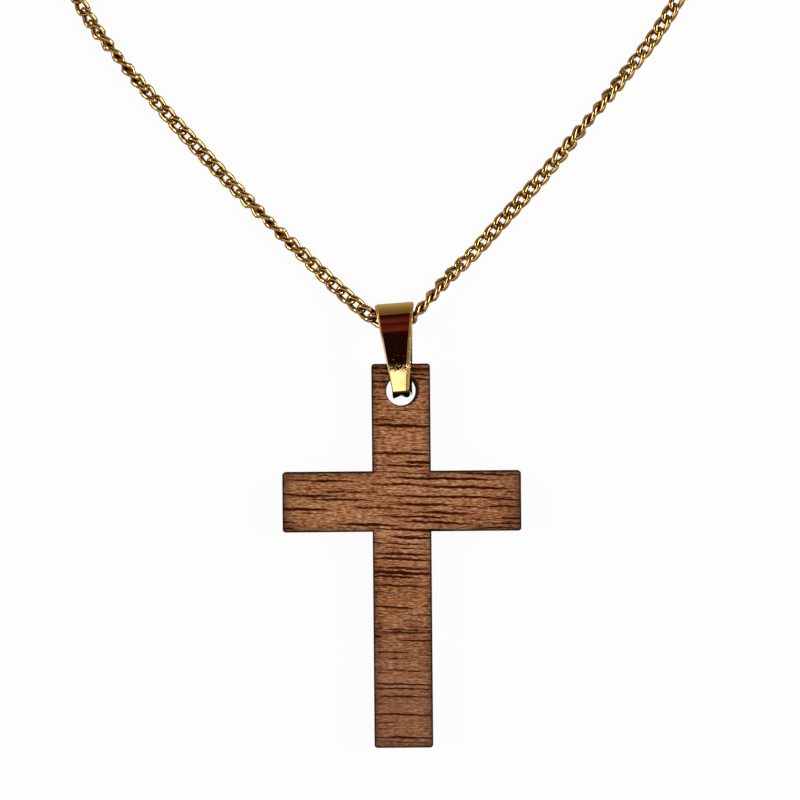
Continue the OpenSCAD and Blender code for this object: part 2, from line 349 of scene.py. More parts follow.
def curb_link():
    """A ring of round wire, drawn long and twisted so that it lies flat between its neighbours."""
    link = bmesh.new()
    ring_radius = LINK_HALF_LENGTH
    upright = Matrix.Translation((ring_radius, 0, 0)) @ Matrix.Rotation(math.pi / 2, 4, "X")
    upright = upright @ Matrix.Rotation(math.pi / LINK_SIDES, 4, "Z")
    bmesh.ops.create_circle(link, segments=LINK_SIDES, radius=WIRE / 2, matrix=upright)
    full_turn(link, link.verts[:] + link.edges[:], LINK_RINGS)
    for vert in link.verts:
        turn = math.atan2(vert.co.y, vert.co.x)
        out = math.hypot(vert.co.x, vert.co.y) - ring_radius
        c, s = math.cos(turn), math.sin(turn)
        centre = Vector((LINK_HALF_LENGTH * c, LINK_HALF_WIDTH * s, LINK_TWIST * math.sin(2 * turn)))
        ahead = Vector((-LINK_HALF_LENGTH * s, LINK_HALF_WIDTH * c, 2 * LINK_TWIST * math.cos(2 * turn)))
        ahead.normalize()
        outward = Vector((LINK_HALF_WIDTH * c, LINK_HALF_LENGTH * s, 0))
        outward = (outward - outward.dot(ahead) * ahead).normalized()
        vert.co = centre + out * outward + vert.co.z * ahead.cross(outward)
    bmesh.ops.recalc_face_normals(link, faces=link.faces[:])
    for face in link.faces:
        face.smooth = True
    mesh = bpy.data.meshes.new("curb_link")
    link.to_mesh(mesh)
    link.free()
    return mesh


link_mesh = curb_link()
print("faces in one link:", len(link_mesh.polygons))

# %% [markdown]
# ## Links along the route
# The links could be instanced on a curve, but a real chain doesn't lie evenly: it rolls about its own run. So
# each link is set by a matrix of its own, which points it along the route and rolls it by its distance. All
# links of one side are one piece, because they lie still together.

# %% Set the links along both runs
LINGER = 0.25


def add_piece(name, shape, body, slot, finish, *stands_for):
    """Makes a finished bmesh a piece of its own, which rides on a body in place of CAD nodes."""
    mesh = bpy.data.meshes.new(name)
    shape.to_mesh(mesh)
    shape.free()
    mesh.materials.append(finish)
    piece = bpy.data.objects.new(name, mesh)
    bpy.context.scene.collection.objects.link(piece)
    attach(piece, body)
    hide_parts(*stands_for)
    return piece


def place_links(shape, run, first, roll):
    """Sets links at even steps along a run, the given number of steps on from its start."""
    count = math.ceil(run.length / PITCH)
    step = run.length / count
    near = PITCH / 4
    for k in range(first, count + 1):
        ahead = run.heading(min(max(k * step, near), run.length - near), near)
        side = Vector((0, 0, 1)).cross(ahead).normalized()
        turned = Matrix((ahead, side, ahead.cross(side))).transposed().to_4x4()
        place = Matrix.Translation(run.at(k * step)) @ turned @ Matrix.Rotation(roll(k * step / MM), 4, "X")
        shape.from_mesh(link_mesh)
        shape.verts.ensure_lookup_table()
        bmesh.ops.transform(shape, matrix=place, verts=shape.verts[-len(link_mesh.vertices):])


def tumble(turn):
    """A roll that lingers where the links lie flat and hurries where they stand on edge."""
    return turn - LINGER * math.sin(2 * turn)


def rolling(flat_at, half_turn, until):
    """A run's roll at a distance in millimetres. It turns half round every half_turn, and stops at until."""
    return lambda distance: tumble(math.pi * (min(distance, until) - flat_at) / half_turn)


# The left run is flat near the bail. The right one comes out of it on edge.
left_roll = rolling(flat_at=6.5, half_turn=30, until=66.5)
right_roll = rolling(flat_at=22, half_turn=34, until=90)
left_shape = bmesh.new()
place_links(left_shape, left_run, 0, left_roll)
chain_left = add_piece("chain_left", left_shape, "chain", "chain_gold", chain_finish,
                       "chain_left_front", "chain_left_side", "chain_left_rest", "chain_left_back")
right_shape = bmesh.new()
place_links(right_shape, right_run, 1, right_roll)
chain_right = add_piece("chain_right", right_shape, "chain", "chain_gold", chain_finish,
                        "chain_right_front", "chain_right_side", "chain_right_rest", "chain_right_back")
print("faces in the chain:", len(chain_left.data.polygons) + len(chain_right.data.polygons))

# %% [markdown]
# ## The wood
# The cross is cut by laser from a board of open-grained brown wood, with the grain running across it. Three
# things make the wood read as real: long dark streaks where the pores lie together, a fine short dash
# pattern between them, and the scorched rim that the laser leaves. The streaks are placed one by one, as a
# grain painter would, because noise alone never looks like one particular board. Their heights start from the
# picture's dark rows, in round numbers, and the rest of each was judged. The dashes and the drift of
# tone are noise, stretched along the grain. The scorch follows the outline: its depth comes from the distance
# to the edge, which is simple arithmetic for two crossed bars and a round hole. Further in, the heat has only
# browned the wood, and that fades out over a millimetre.

# %% Wood finish
POST_HALF_WIDTH = 3.9
ARM_TOP = 7.075
ARM_BOTTOM = -0.925
HOLE_RADIUS = 1.95
FOOT_Y = cross_low.y / MM
TOP_Y = cross_high.y / MM
ARM_HALF_WIDTH = cross_high.x / MM
HOLE_Y = hole_centre.y / MM

# Middle of a streak across and up the cross, its half length and half thickness, and how dark it is.
STREAKS = [
    # The post above the arm
    (0, 20.7, 4.5, 0.26, 0.75), (0, 20.0, 4.5, 0.16, 0.8), (-2.9, 19.0, 2.0, 0.14, 0.8),
    (3.0, 19.3, 2.0, 0.14, 0.8), (3.2, 18.6, 1.6, 0.1, 0.5), (-3.0, 17.0, 1.6, 0.1, 0.5),
    (0.6, 15.2, 4.4, 0.12, 0.45), (-2.4, 13.9, 2.4, 0.14, 0.6), (0, 13.1, 4.6, 0.2, 0.9),
    (-2.8, 11.5, 2.0, 0.13, 0.5), (2.6, 9.8, 2.2, 0.13, 0.6), (0, 9.4, 4.6, 0.18, 0.85),
    (2.6, 8.2, 2.4, 0.18, 0.9), (0.4, 7.8, 4.2, 0.15, 0.75),
    # The arm and the crossing
    (1.2, 6.9, 3.6, 0.12, 0.6), (-10.4, 5.9, 4.6, 0.17, 0.75), (4.9, 6.1, 7.2, 0.19, 0.95),
    (11.6, 6.6, 3.8, 0.15, 0.8), (0.6, 5.4, 5.0, 0.16, 0.7), (8.6, 4.9, 5.2, 0.2, 0.95),
    (-6.6, 4.4, 4.6, 0.14, 0.65), (-12.2, 4.0, 4.4, 0.17, 0.85), (5.6, 3.7, 8.4, 0.18, 0.85),
    (-8.2, 3.4, 4.6, 0.15, 0.75), (2.8, 2.7, 4.2, 0.19, 0.85), (-13.2, 2.2, 3.4, 0.2, 0.9),
    (-3.0, 2.2, 5.2, 0.13, 0.65), (9.0, 2.3, 2.8, 0.13, 0.6), (5.4, 1.5, 4.0, 0.16, 0.8),
    (1.8, 1.0, 5.2, 0.16, 0.8), (4.6, 0.25, 5.0, 0.17, 0.85), (-4.6, 0.0, 4.6, 0.19, 0.85),
    (3.2, -0.8, 6.6, 0.2, 0.9),
    # The post below the arm
    (1.2, -1.7, 2.8, 0.2, 0.9), (0, -2.5, 4.4, 0.15, 0.65), (0.4, -3.1, 4.4, 0.14, 0.6),
    (0, -3.9, 4.4, 0.19, 0.75), (0, -4.6, 4.4, 0.2, 0.75), (0.4, -5.8, 4.4, 0.17, 0.7),
    (0, -6.4, 4.6, 0.22, 1.0), (-1.4, -6.9, 3.4, 0.17, 0.9), (-0.4, -8.1, 3.8, 0.15, 0.7),
    (-2.2, -9.0, 1.8, 0.12, 0.55), (-1.4, -10.95, 2.8, 0.15, 0.85), (2.4, -12.0, 2.2, 0.12, 0.6),
    (1.4, -12.8, 2.4, 0.1, 0.5), (2.2, -13.6, 2.2, 0.12, 0.6), (0, -13.9, 4.4, 0.12, 0.62),
    (0.2, -14.25, 4.4, 0.13, 0.7), (-3.4, -14.8, 0.8, 0.16, 0.85), (1.8, -15.3, 2.6, 0.14, 0.75),
    (-1.6, -16.9, 2.6, 0.13, 0.65), (-1.4, -17.7, 2.6, 0.12, 0.6), (0, -19.35, 4.4, 0.13, 0.62),
    (0, -21.2, 4.6, 0.15, 0.8), (0, -21.8, 4.6, 0.14, 0.75), (0, -22.85, 4.6, 0.14, 0.7),
    (0, -25.25, 4.6, 0.16, 0.78), (-2.4, -26.3, 1.8, 0.12, 0.62), (0, -28.3, 4.6, 0.16, 0.78),
    (0.6, -28.9, 3.6, 0.12, 0.55),
    # The two ends of the arm
    (13.8, 3.2, 2.6, 0.13, 0.65), (14.8, 4.2, 1.6, 0.13, 0.6), (13.4, 2.3, 3.0, 0.14, 0.7),
    (14.6, 0.75, 1.8, 0.16, 0.75), (14.2, 0.1, 2.2, 0.15, 0.7), (13.2, -0.5, 2.8, 0.13, 0.65),
    (-15.3, 0.5, 0.9, 0.15, 0.75), (-15.2, -0.3, 0.8, 0.15, 0.75),
]

# Noise eats into the ends and sides of a streak, so each one is drawn longer and thicker than it reads.
STREAK_LENGTHEN = 1.4
STREAK_THICKEN = 1.45
GRAIN_SLOPE = 0.035

# Heights where the foot starts to turn grey and is greyest, and distances out where the arm's ends start to
# darken and are darkest.
FOOT_FADE = (-4.0, -26.0)
END_DARKENING_FADE = (12.0, 16.2)
CROSSING_Y = 3.0

# The char round the hole is drawn a little up and to the right of it. That side of it is partly real char and
# partly painted shade: the shade of the hole's wall and the bail's shadow.
CHAR_AND_SHADE_SHIFT = (0.2, 0.12)
CHAR_START = 0.08

# The heat also browns the wood in from the cut, most at the first of these depths and not at the second.
BROWNED_FROM = 0.1
BROWNED_TO = 1.3
BROWNED_SHARE = 0.42

FOOT_BROWN = (0.218, 0.108, 0.067, 1)
END_DARKENING_BROWN = (0.1, 0.034, 0.014, 1)
STREAK_DARK = (0.034, 0.005, 0.002, 1)
CHAR = (0.005, 0.003, 0.002, 1)


def bar_depth(finish, x, y, half_width, low, high):
    """How deep inside an upright bar a point lies, in millimetres, or less than 0 outside it."""
    across = half_width - finish.math("ABSOLUTE", x)
    along = (high - low) / 2 - finish.math("ABSOLUTE", y - (high + low) / 2)
    return finish.math("MINIMUM", across, along)


def walnut():
    finish, surface = new_finish("walnut")
    place = finish.millimetres()
    x, y = finish.parts(place)[:2]
    aside = finish.math("ABSOLUTE", x)

    # The grain wanders: each line is pushed up and down a little along its length.
    wander = finish.noise(place, (0.16, 0.22, 0.1), 2.0) - 0.5
    shiver = finish.noise(place, (1.1, 0.9, 0.4), 2.0) - 0.5
    grain_line = y + GRAIN_SLOPE * x + 0.5 * wander + 0.24 * shiver
    lifted = finish.node("ShaderNodeCombineXYZ", None, {0: x, 1: grain_line, 2: 0.0})

    drift = finish.noise(lifted, (0.05, 0.16, 0), 3.0)
    fibres = finish.noise(lifted, (0.45, 6.5, 0), 5.0, 0.62)
    dashes = finish.noise(lifted, (1.5, 5.5, 0), 3.0, 0.55)
    pores = finish.between(finish.noise(lifted, (0.8, 8.5, 0), 2.0), 0.6, 0.76)
    figure = finish.between(finish.noise(lifted, (0.13, 3.0, 0), 4.0, 0.65), 0.57, 0.68)

    streaks = 0.0
    for middle, height, half_length, half_thickness, depth in STREAKS:
        along = STREAK_LENGTHEN * half_length
        across = STREAK_THICKEN * half_thickness
        size = (1 / along, 1 / across, 0)
        offset = (-middle / along, -(height + GRAIN_SLOPE * middle) / across, 0)
        near = finish.vector("MULTIPLY_ADD", lifted, size, offset)
        spread = finish.vector("DOT_PRODUCT", near, near, output="Value")
        streak = finish.math("MULTIPLY_ADD", spread, -depth, depth)
        streaks = finish.math("MAXIMUM", streaks, streak)
    feathers = finish.noise(lifted, (0.7, 7.0, 0), 3.0, 0.6)
    streaks = finish.between(streaks + 1.3 * (feathers - 0.5), 0.25, 0.72)

    tone = 0.64 + 0.8 * (drift - 0.5) + 1.7 * (fibres - 0.5) + 2.0 * (dashes - 0.5)
    foot = finish.between(y, *FOOT_FADE)
    off_arm = finish.math("ABSOLUTE", y - CROSSING_Y)
    crossing = finish.between(aside, 13.0, 5.0) * finish.between(off_arm, 6.0, 3.0)
    tone = tone - 0.42 * pores - 0.5 * figure - 0.6 * streaks - 0.05 * foot + 0.08 * crossing
    stops = [(0.0, (0.035, 0.005, 0.002)), (0.16, (0.09, 0.014, 0.004)), (0.32, (0.178, 0.051, 0.016)),
             (0.56, (0.3, 0.121, 0.046)), (0.8, (0.44, 0.208, 0.097)), (1.0, (0.62, 0.335, 0.18))]
    brown = finish.node("ShaderNodeValToRGB", {"stops": stops}, {0: tone})
    brown = finish.mix(0.4 * foot, brown, FOOT_BROWN)
    # The arm's ends are mixed towards a dark brown, more so further out.
    ends_darker = finish.between(aside, *END_DARKENING_FADE)
    brown = finish.mix(0.5 * ends_darker * (0.4 + fibres), brown, END_DARKENING_BROWN)
    grained = finish.mix(0.88 * streaks, brown, STREAK_DARK)

    post = bar_depth(finish, x, y, POST_HALF_WIDTH, FOOT_Y, TOP_Y)
    arm = bar_depth(finish, x, y, ARM_HALF_WIDTH, ARM_BOTTOM, ARM_TOP)
    flat = finish.node("ShaderNodeCombineXYZ", None, {0: x, 1: y})
    # The shift up and to the right paints the hole wall's shade and the bail's shadow into the char ring.
    ring_centre = (CHAR_AND_SHADE_SHIFT[0], HOLE_Y + CHAR_AND_SHADE_SHIFT[1], 0)
    from_ring = finish.vector("DISTANCE", flat, ring_centre, output="Value")
    hole = from_ring - (HOLE_RADIUS + CHAR_START)
    outline = finish.math("MAXIMUM", post, arm)
    browned = finish.between(outline, BROWNED_TO, BROWNED_FROM)
    rim = finish.math("MINIMUM", outline, hole)
    ragged = rim - 0.16 * (finish.noise(place, (1.8, 1.8, 1.0), 3.0) - 0.5)
    scorch = finish.between(ragged, 0.34, 0.08)
    toasted = finish.mix(BROWNED_SHARE * browned, grained, CHAR)
    finish.feed(surface.inputs["Base Color"], finish.mix(0.93 * scorch, toasted, CHAR))
    finish.feed(surface.inputs["Roughness"], 0.5 + 0.2 * fibres + 0.15 * scorch)
    surface.inputs["Specular IOR Level"].default_value = 0.04

    height = 0.6 * fibres + 0.3 * dashes - 0.8 * streaks - 0.4 * pores
    finish.bump(surface, height, strength=0.5, depth=0.06 * MM)
    return finish.owner


wood_finish = walnut()
print("streaks in the board:", len(STREAKS))

# %% [markdown]
# ## The cross
# A laser leaves square walls, a hair of rounding where the rim was sanded, and corners with the radius of its
# beam. The outline is drawn as one face and its corners are rounded. That face is filled again with the round
# hole left open, and pulled down to the board's thickness. A narrow bevel then breaks the rims, which is what
# catches the light.

# %% Cross
CORNER = 0.4 * MM
RIM = 0.06 * MM
HOLE_SIDES = 64


def cross_outline():
    """The twelve corners of the cross, round from the top left."""
    post = POST_HALF_WIDTH * MM
    arm_top = ARM_TOP * MM
    arm_bottom = ARM_BOTTOM * MM
    right = [(post, cross_high.y), (post, arm_top), (cross_high.x, arm_top), (cross_high.x, arm_bottom),
             (post, arm_bottom), (post, cross_low.y)]
    return right + [(-x, y) for x, y in reversed(right)]


def round_edges(shape, edges, radius, segments=2):
    """Bevels edges to a round."""
    bmesh.ops.bevel(shape, geom=edges, offset=radius, segments=segments, profile=0.5, affect="EDGES",
                    material=-1)


def sharp_above(shape, angle):
    """Shades everything smooth, apart from edges that fold by more than the angle."""
    for face in shape.faces:
        face.smooth = True
    for edge in shape.edges:
        edge.smooth = edge.calc_face_angle(math.pi) < angle


def cross_shape():
    shape = bmesh.new()
    corners = [shape.verts.new((x, y, cross_high.z)) for x, y in cross_outline()]
    shape.faces.new(corners)
    outer = [vert for vert in corners if abs(vert.co.x) > 1.01 * POST_HALF_WIDTH * MM
             or vert.co.y in (cross_low.y, cross_high.y)]
    bmesh.ops.bevel(shape, geom=outer, offset=CORNER, segments=4, profile=0.5, affect="VERTICES", material=-1)
    bmesh.ops.delete(shape, geom=shape.faces[:], context="FACES_ONLY")
    round_hole = Matrix.Translation((hole_centre.x, hole_centre.y, cross_high.z))
    bmesh.ops.create_circle(shape, segments=HOLE_SIDES, radius=HOLE_RADIUS * MM, matrix=round_hole)
    bmesh.ops.triangle_fill(shape, edges=shape.edges[:], use_beauty=True, normal=(0, 0, 1))
    pulled = bmesh.ops.extrude_face_region(shape, geom=shape.faces[:], use_keep_orig=True)
    moved = [item for item in pulled["geom"] if isinstance(item, bmesh.types.BMVert)]
    bmesh.ops.translate(shape, verts=moved, vec=(0, 0, cross_low.z - cross_high.z))
    bmesh.ops.recalc_face_normals(shape, faces=shape.faces[:])
    rims = [edge for edge in shape.edges if edge.calc_face_angle(0) > 1 and
            abs(edge.verts[0].co.z - edge.verts[1].co.z) < RIM]
    round_edges(shape, rims, RIM)
    sharp_above(shape, math.radians(40))
    return shape


cross_piece = add_piece("wooden_cross", cross_shape(), "cross", "walnut", wood_finish, "cross")
print("faces in the cross:", len(cross_piece.data.polygons))

# %% [markdown]
# ## The bail
# The bail is one strip of sheet, wide at the fold and narrow at its ends, with its outer long edges
# chamfered. It goes up the back of the cross, round over the chain and down the front, and a small prong at
# each end turns into the hole. It could be a bent plane with a thickness, but the chamfers change on the way.
# So the strip is swept: an eight-cornered cross-section starts at one prong, and is extruded station by
# station along the side view's line, growing wider and narrower on the way.

# %% The bail's side view, in millimetres up from the hole and up from the table
SHEET = 0.45
FOLD_Y = (fold_axis - hole_centre).xy.length / MM
FOLD_Z = fold_axis.z / MM
LEAN = math.atan2(hole_centre.x - fold_axis.x, fold_axis.y - hole_centre.y)
TOP_BAIL_Y = 11.7
TIP_HALF_WIDTH = 1.14
TOP_HALF_WIDTH = 2.6
CHAMFER_DEEP = 0.2
RIGHT_SLOPE = 0.36
BACK_SKEW = 0.4
NOTCH = 0.34
NOTCH_FROM = -0.2
NOTCH_RUN = 0.7
PRONG_TOP = 0.2

# The strip is satin above the first height. Below the second, and on its inner face, it is painted near black
# as painted shade. Its chamfers are half satin.
SATIN_ABOVE = 10.12
PAINTED_SHADE_BELOW = -0.12
CHAMFER_SATIN = 0.5

# The outer face of the strip, from the tip of the back prong round to the tip of the front prong.
SIDE_VIEW = [(-0.55, 2.5), (-0.75, 1.2), (-0.7, 0.35), (-0.2, 0.02), (0.9, 0), (3, 0), (6, 0), (8.4, 0.03),
             (9.7, 0.3), (10.75, 0.95), (11.45, 1.8), (11.7, 2.75), (11.4, 3.7), (10.6, 4.45), (9.6, 4.85),
             (8.6, 5.06), (7.4, 5.2), (6, 5.28), (4.6, 5.27), (3.2, 5.16), (2.75, 5.1), (2.3, 4.98),
             (1, 4.6), (0.1, 4.33), (-0.3, 4.1), (-0.68, 3.6), (-0.98, 2.8)]


def held(share):
    """A share, kept between 0 and 1."""
    return min(max(share, 0), 1)


def bail_half_width(y):
    """Half the strip's width at a height: the strip narrows to its ends, and the prongs stay as wide."""
    share = max(y - PRONG_TOP, 0) / (TOP_BAIL_Y - PRONG_TOP)
    return TIP_HALF_WIDTH + share * (TOP_HALF_WIDTH - TIP_HALF_WIDTH)


def chamfers(y):
    """Widths of the left and the right chamfer at a height. The strip was filed by hand, so they differ."""
    share = held(y / TOP_BAIL_Y)
    return 0.12 + 0.26 * share * share, 0.45 + 0.5 * share - 0.7 * share * share


def bail_shape():
    line = smooth_line([Vector((y, z, 0)) for y, z in SIDE_VIEW])
    shape = bmesh.new()
    lean = Matrix.Translation((hole_centre.x, hole_centre.y, 0)) @ Matrix.Rotation(LEAN, 4, "Z")
    satin = shape.verts.layers.float.new("satin")
    soot = shape.verts.layers.float.new("soot")
    ring = []
    for i, point in enumerate(line):
        ahead = (line[min(i + 1, len(line) - 1)] - line[max(i - 1, 0)]).normalized()
        inward = Vector((-ahead.y, ahead.x, 0))
        half = bail_half_width(point.x)
        left, right = chamfers(point.x)
        skew = BACK_SKEW * held((FOLD_Z - point.y) / FOLD_Z) * held(1 - point.x / FOLD_Y)
        inset = NOTCH * Vector((held((NOTCH_FROM - point.x) / NOTCH_RUN), 0, 0))
        section = [(-half, SHEET), (0, SHEET), (half, SHEET), (half, RIGHT_SLOPE * right), (half - right, 0),
                   (0, 0), (left - half, 0), (-half, CHAMFER_DEEP)]
        places = []
        for across, depth in section:
            spot = point + depth * inward + (inset if across == 0 else Vector())
            places.append(lean @ (MM * Vector((across + skew, spot.x, spot.y))))
        if ring:
            edges = [shape.edges.get((a, b)) for a, b in zip(ring, ring[1:] + ring[:1])]
            grown = bmesh.ops.extrude_edge_only(shape, edges=edges)["geom"]
            fresh = [item for item in grown if isinstance(item, bmesh.types.BMVert)]
            ring = [next(new for new in fresh if (new.co - old.co).length < 1e-9) for old in ring]
        else:
            ring = [shape.verts.new(place) for place in places]
            for a, b in zip(ring, ring[1:] + ring[:1]):
                shape.edges.new((a, b))
        for vert, place, (across, depth) in zip(ring, places, section):
            vert.co = place
            vert[satin] = 1.0 if point.x > SATIN_ABOVE else CHAMFER_SATIN if depth > 0 else 0.0
            # Painted shade: the prongs below that height and the strip's inner face are painted near black.
            vert[soot] = 1.0 if point.x < PAINTED_SHADE_BELOW or depth == SHEET else 0.0
    bmesh.ops.holes_fill(shape, edges=shape.edges[:], sides=8)
    bmesh.ops.recalc_face_normals(shape, faces=shape.faces[:])
    return shape


print("points in the bail's side view:", len(SIDE_VIEW))

# %% [markdown]
# ## The bail's finish
# The strip is buffed to a mirror, so most of what it shows is its surroundings. Three places differ, and the
# mesh marks two of them on its vertices: the fold is satin, and the inside and the prongs are painted near
# black as painted shade. The third is a band of grit on the front leg. It is a bump, because grit scatters a
# mirror image where paint would only tint it.

# %% Bail finish
GRIT_STARTS = (20.0, 20.5)
GRIT_ENDS = (22.2, 20.7)


def polished_gold():
    finish, surface = new_finish("polished_gold")
    place = finish.millimetres()
    tone = finish.noise(place, (0.5, 0.5, 0.5), 3.0)
    hairlines = finish.noise(place, (14, 1.2, 14), 4.0, 0.6)
    specks = finish.between(finish.noise(place, (4.5, 4.5, 4.5), 2.0), 0.71, 0.76)
    satin = finish.node("ShaderNodeAttribute", {"attribute_name": "satin"}, None, "Fac")
    bright = finish.mix(finish.between(tone, 0.35, 0.8), GOLD, GOLD_WARM)
    soot = finish.node("ShaderNodeAttribute", {"attribute_name": "soot"}, None, "Fac")
    brushed = finish.mix(satin, bright, GOLD_SATIN)
    # The near black mixed in here is painted shade on the inner face and the prongs.
    finish.feed(surface.inputs["Base Color"], finish.mix(0.9 * soot, brushed, PAINTED_SHADE_BLACK))
    finish.feed(surface.inputs["Roughness"], 0.035 + 0.03 * hairlines + 0.15 * specks + 0.4 * satin)
    y = finish.parts(place)[1]
    band = finish.between(y, *GRIT_STARTS) * finish.between(y, *GRIT_ENDS)
    grit = finish.noise(place, (4.2, 3.6, 4.2), 1.0)
    finish.bump(surface, 0.08 * specks + 1.35 * band * (grit - 0.5), strength=0.8, depth=0.08 * MM)
    surface.inputs["Metallic"].default_value = 1
    return finish.owner


bail_finish = polished_gold()
bail_mesh = bail_shape()
sharp_above(bail_mesh, math.radians(14))
bail_piece = add_piece("folded_bail", bail_mesh, "bail", "polished_gold", bail_finish, "bail")
print("faces in the bail:", len(bail_piece.data.polygons))

# %% [markdown]
# ## The clasp
# Behind the neck the chain closes with a lobster claw. The claw is a small casting: a hook with a mouth, two
# cheeks with a slot between them, and an eye. A lever turns in the slot on a rivet, and a coil of steel wire
# pushes it shut. A cube with a bump would pass from far away, but the lever opens, so each piece is made. The
# claw starts as its outline. The outline is pulled up by one cheek, only the part below the slot is pulled on
# to the middle, and a mirror gives the other half.

# %% Claw
PIN = (3.5, 0.5)
HOOK = (7.3, 0)
HOOK_OUTER = 2.2
HOOK_INNER = 1.25
BACK_RADIUS = 1.5
MOUTH_BACK = 5.0
MOUTH_FLOOR = 0.55
HOOK_TIP = 7.5
CLAW_HALF = 0.9 * MM
NOSE_HALF = 0.4 * MM
CHEEK = 0.3 * MM
SLOT_START = 2.2 * MM
SLOT_FLOOR = -0.3 * MM
CLAW_ROUNDING = 0.2 * MM
EYE_RADIUS = 0.95 * MM
EYE_WIRE = 0.5 * MM
EYE_TALL = 1.6
NECK_MIDDLE = 1.9 * MM
NECK_SIZE = (1.8 * MM, 1.4 * MM, 0.8 * MM)
NECK_ROUNDING = 0.15 * MM
clasp_eye = Vector(joints["lever_open"]["pos_m"]) - MM * Vector((*PIN, 0))


def arc(centre, radius, start, end, count):
    """Points on an arc that goes from one angle to another, in degrees."""
    turns = [math.radians(start + (end - start) * k / count) for k in range(count + 1)]
    return [(centre[0] + radius * math.cos(turn), centre[1] + radius * math.sin(turn)) for turn in turns]


def claw_outline():
    reach = HOOK_TIP - HOOK[0]
    mouth = math.degrees(math.asin(MOUTH_FLOOR / HOOK_INNER))
    inner_tip = math.degrees(math.acos(reach / HOOK_INNER))
    outer_tip = math.degrees(math.acos(reach / HOOK_OUTER))
    slope = (HOOK_OUTER - BACK_RADIUS) / (HOOK[0] - PIN[0])
    inside = arc(HOOK, HOOK_INNER, 180 - mouth, 360 + inner_tip, 28)
    outside = arc(HOOK, HOOK_OUTER, outer_tip, -90, 22)
    back = arc((PIN[0], 0), BACK_RADIUS, 270, 90, 16)
    top = (MOUTH_BACK, BACK_RADIUS + slope * (MOUTH_BACK - PIN[0]))
    return [(MOUTH_BACK, MOUTH_FLOOR)] + inside + outside + back + [top]


def closed_line(outline, height):
    """Edges all round an outline in millimetres, as a new bmesh."""
    shape = bmesh.new()
    corners = [shape.verts.new((MM * x, MM * y, height)) for x, y in outline]
    for a, b in zip(corners, corners[1:] + corners[:1]):
        shape.edges.new((a, b))
    return shape


def pull(shape, faces, rise, keep):
    """Pulls faces up into a wall, and gives the faces that came to lie on top."""
    grown = bmesh.ops.extrude_face_region(shape, geom=faces, use_keep_orig=keep)["geom"]
    moved = [item for item in grown if isinstance(item, bmesh.types.BMVert)]
    bmesh.ops.translate(shape, verts=moved, vec=(0, 0, rise))
    return [item for item in grown if isinstance(item, bmesh.types.BMFace)]


def edges_of(verts):
    return list({edge for vert in verts for edge in vert.link_edges})


def claw_shape():
    shape = closed_line(claw_outline(), -CLAW_HALF)
    bmesh.ops.triangle_fill(shape, edges=shape.edges[:], use_beauty=True, normal=(0, 0, 1))
    along, across = (1, 0, 0), (0, 1, 0)
    slot_planes = [((SLOT_START, 0, 0), along), ((HOOK[0] * MM, 0, 0), along), ((0, SLOT_FLOOR, 0), across)]
    for place, facing in slot_planes:
        bmesh.ops.bisect_plane(shape, geom=shape.verts[:] + shape.edges[:] + shape.faces[:], dist=1e-7,
                               plane_co=place, plane_no=facing)
    top = pull(shape, shape.faces[:], CHEEK, True)
    spots = [(face, face.calc_center_median()) for face in top]
    core = [face for face, spot in spots
            if spot.y < SLOT_FLOOR or spot.x < SLOT_START or spot.x > HOOK[0] * MM]
    middle = pull(shape, core, CLAW_HALF - CHEEK, False)
    bmesh.ops.delete(shape, geom=middle, context="FACES")
    bmesh.ops.mirror(shape, geom=shape.verts[:] + shape.edges[:] + shape.faces[:], merge_dist=1e-6, axis="Z")
    bmesh.ops.remove_doubles(shape, verts=shape.verts[:], dist=1e-6)
    bmesh.ops.recalc_face_normals(shape, faces=shape.faces[:])
    rims = [edge for edge in shape.edges if edge.calc_face_angle(0) > 1
            and min(abs(vert.co.z) for vert in edge.verts) > CLAW_HALF - 1e-6]
    round_edges(shape, rims, CLAW_ROUNDING, 3)
    for vert in shape.verts:
        share = max(vert.co.x / MM - HOOK[0], 0) / HOOK_OUTER
        vert.co.z *= 1 + share * (NOSE_HALF / CLAW_HALF - 1)
    return shape


def add_eye(shape):
    """The loop at the claw's back, and the neck that holds it."""
    section = Matrix.Translation((EYE_RADIUS, 0, 0)) @ Matrix.Rotation(math.pi / 2, 4, "X")
    loop = bmesh.ops.create_circle(shape, segments=8, radius=EYE_WIRE / 2, matrix=section)["verts"]
    bmesh.ops.scale(shape, verts=loop, vec=(1, 1, EYE_TALL))
    full_turn(shape, loop + edges_of(loop), 28)
    block = Matrix.Translation((NECK_MIDDLE, 0, 0)) @ Matrix.Diagonal((*NECK_SIZE, 1))
    neck = bmesh.ops.create_cube(shape, size=1, matrix=block)["verts"]
    round_edges(shape, edges_of(neck), NECK_ROUNDING)
    bmesh.ops.recalc_face_normals(shape, faces=shape.faces[:])


claw_mesh = claw_shape()
add_eye(claw_mesh)
bmesh.ops.translate(claw_mesh, verts=claw_mesh.verts[:], vec=clasp_eye)
sharp_above(claw_mesh, math.radians(35))
claw = add_piece("claw", claw_mesh, "chain", "polished_gold", bail_finish, "clasp_body")
print("faces in the claw:", len(claw.data.polygons))

# %% [markdown]
# ## What moves in the claw
# The lever is a flat stamping with a gate, a boss round its rivet and a tab for the thumb, so it is an
# outline pulled up, like the claw. The rivet is turned, so its half profile is spun. The spring could be a
# plain sleeve at this size, but a spin that climbs gives the real coil for no more work.

# %% Lever, rivet and spring
LEVER_LOW = -0.5 * MM
LEVER_THICK = 0.6 * MM
BOSS = 0.7
TAB_HALF = 0.5
TAB_TOP = 2.5
GATE = (1.05, 1.75)
GATE_END = 7.4
LEVER_BORE = 0.35 * MM
LEVER_ROUNDING = 0.08 * MM
RIVET = [(0, -1.03), (0.2, -1.01), (0.36, -0.95), (0.4, -0.88), (0.3, -0.86), (0.3, 0.86), (0.4, 0.88),
         (0.36, 0.95), (0.2, 1.01), (0, 1.03)]
SPRING_RADIUS = 0.45 * MM
SPRING_WIRE = 0.09 * MM
SPRING_FOOT = 0.26 * MM
SPRING_CLIMB = 0.19 * MM
SPRING_TURNS = 3
SPRING_STEPS = 48


